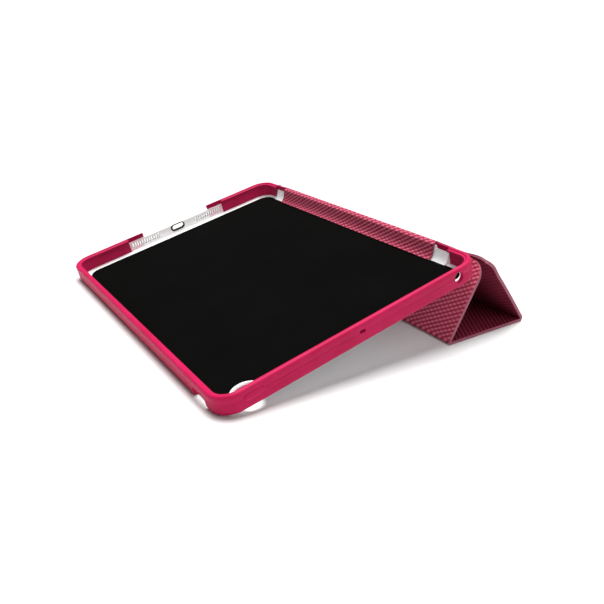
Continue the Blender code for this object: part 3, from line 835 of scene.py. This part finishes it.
def build_cover():
    # band up the inside of the hinge wall
    back = WIDTH - 2.4 * MM
    points = [(back - a * MM, b * MM) for a, b in BAND]
    world = [to_world(*p) for p in curve_through(points, 4)]
    rows = with_width(bent_rows(world, 0.0), BAND_HALF)
    band_end = rows[-1][5]
    band = cloth_loft("spine_band", rows, 0.8 * MM, Matrix.Identity(4))
    finish_piece(band, "tray", None, 50.0)
    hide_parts("spine_strip")

    # bend over the wall's top, between the tray and the free strip
    strip_start = 1.6 * MM
    step = Vector((0.0, math.cos(STRIP_DIR), math.sin(STRIP_DIR)))
    first = root_axis + step * strip_start
    top = [points[-1], (WIDTH - 2.0 * MM, 11.15 * MM), (WIDTH - 1.0 * MM, 11.6 * MM),
           (WIDTH - 0.1 * MM, 11.6 * MM)]
    world = [to_world(*p) for p in top] + [(first.y, first.z)]
    dense = curve_through(world, 5)
    rows = with_width(bent_rows(dense, band_end), BAND_HALF)
    root_end = rows[-1][5]
    root = cloth_loft("cover_root_bend", rows, 0.9 * MM, Matrix.Identity(4))
    smooth(root, 50.0)
    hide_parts("hinge_root_fold")
    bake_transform(root)

    # free strip
    strip_matrix = Matrix.Translation(root_axis) @ Matrix.Rotation(STRIP_DIR, 4, "X")
    high = STRIP_LONG - 1.6 * MM
    rows = []
    for y, _, ny, nz, half, place in flat_rows(strip_start, high, 0.0, strip_half, root_end, 14):
        share = (y - strip_start) / (high - strip_start)
        rows.append((y, 0.5 * APEX_BULGE * share ** 2, ny, nz, half, place))
    apex_s = root_end + STRIP_LONG - strip_start

    def lift(place):
        """The rounded corners curl a little proud of the apex."""
        return CORNER_LIFT * smoothstep(1.0 - abs(place - apex_s - 2 * MM) / (14 * MM))

    strip = cloth_loft("cover_strip", rows, 1.1 * MM, strip_matrix, lift)
    finish_piece(strip, "hinge_strip", None, 50.0)
    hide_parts("hinge_strip")
    s = rows[-1][5]

    # soft bend at the apex, standing a little proud of the straight lines, into the first panel
    start = strip_matrix @ Vector((0.0, high, 0.5 * APEX_BULGE))
    outer_matrix = Matrix.Translation(apex_axis) @ Matrix.Rotation(OUTER_DIR, 4, "X")
    outer_start = 2.2 * MM
    lean = (STRIP_DIR + OUTER_DIR) / 2 + QUARTER
    tip = apex_axis + Vector((0.0, math.cos(lean), math.sin(lean))) * 1.6 * APEX_BULGE
    end = outer_matrix @ Vector((0.0, outer_start, APEX_BULGE))
    turn = [(start.y, start.z)]
    for i in range(1, 12):
        t = i / 12
        a = Vector((start.y, start.z)).lerp(Vector((tip.y, tip.z)), t)
        b = Vector((tip.y, tip.z)).lerp(Vector((end.y, end.z)), t)
        turn.append(tuple(a.lerp(b, t)))
    turn.append((end.y, end.z))
    rows = []
    for i, row in enumerate(bent_rows(turn, s)):
        share = i / (len(turn) - 1)
        width = strip_half(high + share * (1.6 * MM + outer_start))
        rows.append(row[:4] + (width, row[5]))
    s = rows[-1][5]
    apex = cloth_loft("cover_apex_bend", rows, 1.6 * MM, Matrix.Identity(4), lift)
    smooth(apex, 50.0)
    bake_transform(apex)

    def full(_y):
        return PANEL_HALF

    # first panel, behind the tray, very slightly bowed
    rows = []
    for y, _, ny, nz, half, place in flat_rows(outer_start, outer_long - PANEL_START, 0.0,
                                               lambda y: strip_half(STRIP_LONG + y), s, 30):
        share = (y - outer_start) / (outer_long - PANEL_START - outer_start)
        bow = APEX_BULGE * (1.0 - share ** 3) + PANEL_BOW * math.sin(math.pi * share ** 0.6)
        rows.append((y, bow, ny, nz, half, place))
    s = rows[-1][5]
    outer = cloth_loft("cover_outer_panel", rows, PANEL_THICK, outer_matrix, lift)
    finish_piece(outer, "outer_panel", None, 50.0)
    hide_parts("outer_panel_skin", "outer_panel_board", "outer_panel_lining",
                "outer_panel_magnet_left", "outer_panel_magnet_right")

    # first fold
    s = build_fold("cover_fold_1", fold_1_axis, OUTER_DIR + QUARTER, -QUARTER, s,
                   "fold_1_strip")

    # middle panel, on the surface
    middle_matrix = Matrix.Translation(fold_1_axis) @ Matrix.Rotation(math.pi, 4, "X")
    rows = flat_rows(PANEL_START, MIDDLE_LONG - PANEL_START, FOLD_OFFSET, full, s)
    s = rows[-1][5]
    middle = cloth_loft("cover_middle_panel", rows, PANEL_THICK, middle_matrix)
    finish_piece(middle, "middle_panel", None, 50.0)
    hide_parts("middle_panel_skin", "middle_panel_board", "middle_panel_lining")

    # second fold
    s = build_fold("cover_fold_2", fold_2_axis, -QUARTER, FREE_DIR + QUARTER - 2 * math.pi, s,
                   "fold_2_strip")

    # free panel with rounded free corners
    free_matrix = Matrix.Translation(fold_2_axis) @ Matrix.Rotation(FREE_DIR, 4, "X")
    corner = FREE_CORNER_R

    def rounded(y):
        over = y - (FREE_LONG - corner)
        if over <= 0:
            return PANEL_HALF
        return PANEL_HALF - corner + math.sqrt(max(0.0, corner * corner - over * over))

    rows = flat_rows(PANEL_START, FREE_LONG, FOLD_OFFSET, rounded, s, 16)
    tail = []
    for i in range(1, 13):
        y = FREE_LONG - corner + corner * math.sin(QUARTER * i / 12)
        tail.append((y, FOLD_OFFSET, 0.0, 1.0, rounded(y), s + y - PANEL_START))
    rows = [r for r in rows if r[0] <= FREE_LONG - corner] + tail
    free = cloth_loft("cover_free_panel", rows, PANEL_THICK, free_matrix)
    finish_piece(free, "free_panel", None, 50.0)
    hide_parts("free_panel_skin", "free_panel_board", "free_panel_lining",
                "free_panel_magnet_left", "free_panel_magnet_right")


def build_fold(name, axis, start, end, s, node):
    """Cloth bent round a fold's axis, clockwise from the start to the end normal."""
    tail = PANEL_START
    steps = 14
    mid = arc((axis.y, axis.z), FOLD_OFFSET, start, end, steps)
    before = (mid[0][0] - tail * math.sin(start), mid[0][1] + tail * math.cos(start))
    after = (mid[-1][0] + tail * math.sin(end), mid[-1][1] - tail * math.cos(end))
    rows = []
    place = s
    entries = [(before, start)]
    entries += [(p, start + (end - start) * i / steps) for i, p in enumerate(mid)]
    entries.append((after, end))
    last = None
    for (y, z), angle in entries:
        if last is not None:
            place += math.hypot(y - last[0], z - last[1])
        rows.append((y, z, math.cos(angle), math.sin(angle), PANEL_HALF, place))
        last = (y, z)
    item = cloth_loft(name, rows, PANEL_THICK, Matrix.Identity(4))
    smooth(item, 50.0)
    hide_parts(node)
    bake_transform(item)
    return place


build_bumper()
build_key()
build_shell()
build_pad()
build_cover()


# ---------------------------------------------------------------- floor, light, camera

def add_sun(name, energy, angle, direction):
    """Soft light from a direction, as wide as the angle in degrees."""
    light = bpy.data.lights.new(name, "SUN")
    light.energy = energy
    light.angle = math.radians(angle)
    item = bpy.data.objects.new(name, light)
    item.rotation_euler = Vector(direction).to_track_quat("Z", "Y").to_euler()
    bpy.context.scene.collection.objects.link(item)


def build_stage():
    size = 4.0
    corners = [(-size, -size, 0), (size, -size, 0), (size, size, 0), (-size, size, 0)]
    floor = new_object("floor", corners, [(0, 1, 2, 3)])
    t = Nodes("floor_white")
    place = t.add("ShaderNodeTexCoord").outputs["Object"]
    t.set(Base_Color=t.mix(noise(t, place, 3.0), (0.74, 0.74, 0.74, 1.0),
                           (0.76, 0.76, 0.76, 1.0)))
    t.set(Roughness=0.9, Specular_IOR_Level=0.1)
    floor.data.materials.append(t.material)
    world = bpy.data.worlds.new("studio")
    world.use_nodes = True
    tree = world.node_tree
    background = tree.nodes["Background"]
    # bright near the horizon like a backdrop, softer overhead
    direction = tree.nodes.new("ShaderNodeTexCoord")
    split = tree.nodes.new("ShaderNodeSeparateXYZ")
    ramp = tree.nodes.new("ShaderNodeValToRGB")
    tree.links.new(direction.outputs["Generated"], split.inputs[0])
    tree.links.new(split.outputs[2], ramp.inputs[0])
    tree.links.new(ramp.outputs[0], background.inputs[0])
    sky = ((0.05, 1.0), (0.10, 0.11))
    for element, (place, level) in zip(ramp.color_ramp.elements, sky):
        element.position = place
        element.color = (level, level, level, 1.0)
    background.inputs[1].default_value = 1.1
    bpy.context.scene.world = world
    add_sun("overhead_softbox", 5.2, 38.0, (-0.20, 0.14, 1.0))
    add_sun("side_softbox", 0.7, 50.0, (0.75, 0.05, 0.8))



def build_camera():
    azimuth = math.radians(57.756)
    elevation = math.radians(22.908)
    roll = math.radians(-0.787)
    distance = 396.47 * MM
    aim = Vector((67.53 * MM, 77.85 * MM - CENTRE_Y, 25.0 * MM))
    back = Vector((math.sin(azimuth) * math.cos(elevation),
                   -math.cos(azimuth) * math.cos(elevation), math.sin(elevation)))
    right = Vector((0.0, 0.0, 1.0)).cross(back).normalized()
    up = back.cross(right)
    x_axis = right * math.cos(roll) + up * math.sin(roll)
    y_axis = up * math.cos(roll) - right * math.sin(roll)
    data = bpy.data.cameras.new("camera")
    data.sensor_width = 36.0
    data.lens = 40.287
    data.shift_x = 0.009
    data.shift_y = 0.0023
    data.clip_start = 0.01
    camera = bpy.data.objects.new("camera", data)
    camera.matrix_world = Matrix((
        (x_axis.x, y_axis.x, back.x, aim.x + back.x * distance),
        (x_axis.y, y_axis.y, back.y, aim.y + back.y * distance),
        (x_axis.z, y_axis.z, back.z, aim.z + back.z * distance),
        (0.0, 0.0, 0.0, 1.0),
    ))
    bpy.context.scene.collection.objects.link(camera)
    bpy.context.scene.camera = camera


build_stage()
build_camera()
bpy.context.scene.view_settings.view_transform = "Standard"
